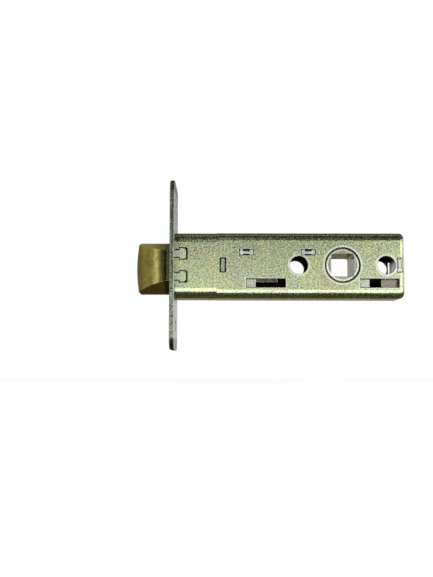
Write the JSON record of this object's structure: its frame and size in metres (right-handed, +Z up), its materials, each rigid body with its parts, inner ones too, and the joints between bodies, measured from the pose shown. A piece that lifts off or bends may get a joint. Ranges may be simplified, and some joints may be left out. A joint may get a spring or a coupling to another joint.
{
  "type": "tubular door latch",
  "caption": "Tubular door latch: a sloped spring bolt and slim faceplate on a flat sheet case, with a square-drive hub that draws the bolt back.",
  "frame": {"origin": "centre of the faceplate's back face, between the two screw holes, on the bolt's axis", "axes": "+X into the door along the case, +Z up along the faceplate, +Y through the door; the bolt's slope faces -Y"},
  "size_m": [0.0943, 0.0254, 0.059],
  "materials": {
    "case_zinc": "yellow zinc passivated sheet steel",
    "faceplate_zinc": "yellow zinc passivated steel, worn at the edge",
    "inner_steel": "zinc plated steel",
    "slider_zinc": "zinc plated steel",
    "hub_zinc": "yellow zinc passivated steel",
    "spring_steel": "oiled spring wire",
    "bolt_brass": "satin brass, dulled"
  },
  "bodies": {
    "case": {"faceplate": "faceplate_zinc", "front_sleeve": "case_zinc", "case_near": "case_zinc", "case_far": "case_zinc", "tie_plate": "inner_steel", "guide_rail": "inner_steel", "end_plate": "inner_steel", "bolt_spring": "spring_steel"},
    "bolt": {"bolt_head": "bolt_brass", "bolt_tail": "inner_steel", "slider": "slider_zinc", "spring_washer": "inner_steel"},
    "hub": {"hub": "hub_zinc"}
  },
  "joints": [
    {"name": "bolt_slide", "type": "slide", "parent": "case", "child": "bolt", "axis": [1, 0, 0], "range_m": [0, 0.0104], "stiffness_N_per_m": 700, "springref_m": -0.012, "deforming": ["bolt_spring"]},
    {"name": "hub_turn", "type": "hinge", "parent": "case", "child": "hub", "pos_m": [0.0584, 0, 0], "axis": [0, 1, 0], "range_deg": [0, 74]}
  ],
  "couplings": [
    {"joint": "hub_turn", "follows": "bolt_slide", "rad_per_m": 124.19}
  ]
}
